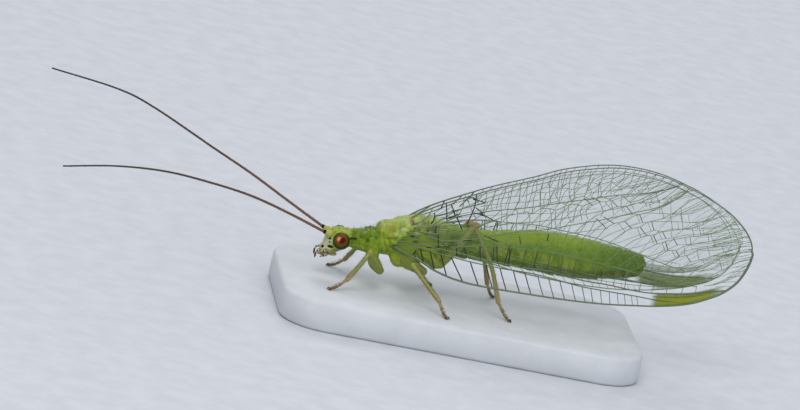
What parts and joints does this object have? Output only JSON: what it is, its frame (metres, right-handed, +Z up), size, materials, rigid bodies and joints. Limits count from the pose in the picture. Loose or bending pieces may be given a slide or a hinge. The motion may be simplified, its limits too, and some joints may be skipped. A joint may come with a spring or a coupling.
{
  "type": "green lacewing",
  "caption": "Green lacewing standing with its net-veined wings folded like a roof and its long antennae forward, life size, on a thin flat base.",
  "frame": {"origin": "centre of the base's underside, which rests on the floor", "axes": "+Z up, -X towards the insect's head and antennae, +X towards its tail and wing tips, -Y towards its left side"},
  "size_m": [0.0318, 0.0111, 0.0089],
  "materials": {
    "skin": "satin",
    "eye": "gloss",
    "antenna": "satin",
    "leg": "satin",
    "wing": "gloss",
    "stand": "matte"
  },
  "bodies": {
    "root": {"stand_base": "stand", "head": "skin", "eye_left": "eye", "eye_right": "eye", "mouthparts": "skin", "antenna_left": "antenna", "antenna_right": "antenna", "prothorax": "skin", "mesothorax": "skin", "metathorax": "skin", "abdomen": "skin", "forewing_left": "wing", "forewing_right": "wing", "hindwing_left": "wing", "hindwing_right": "wing", "foreleg_left": "leg", "foreleg_right": "leg", "midleg_left": "leg", "midleg_right": "leg", "hindleg_left": "leg", "hindleg_right": "leg"}
  },
  "joints": []
}
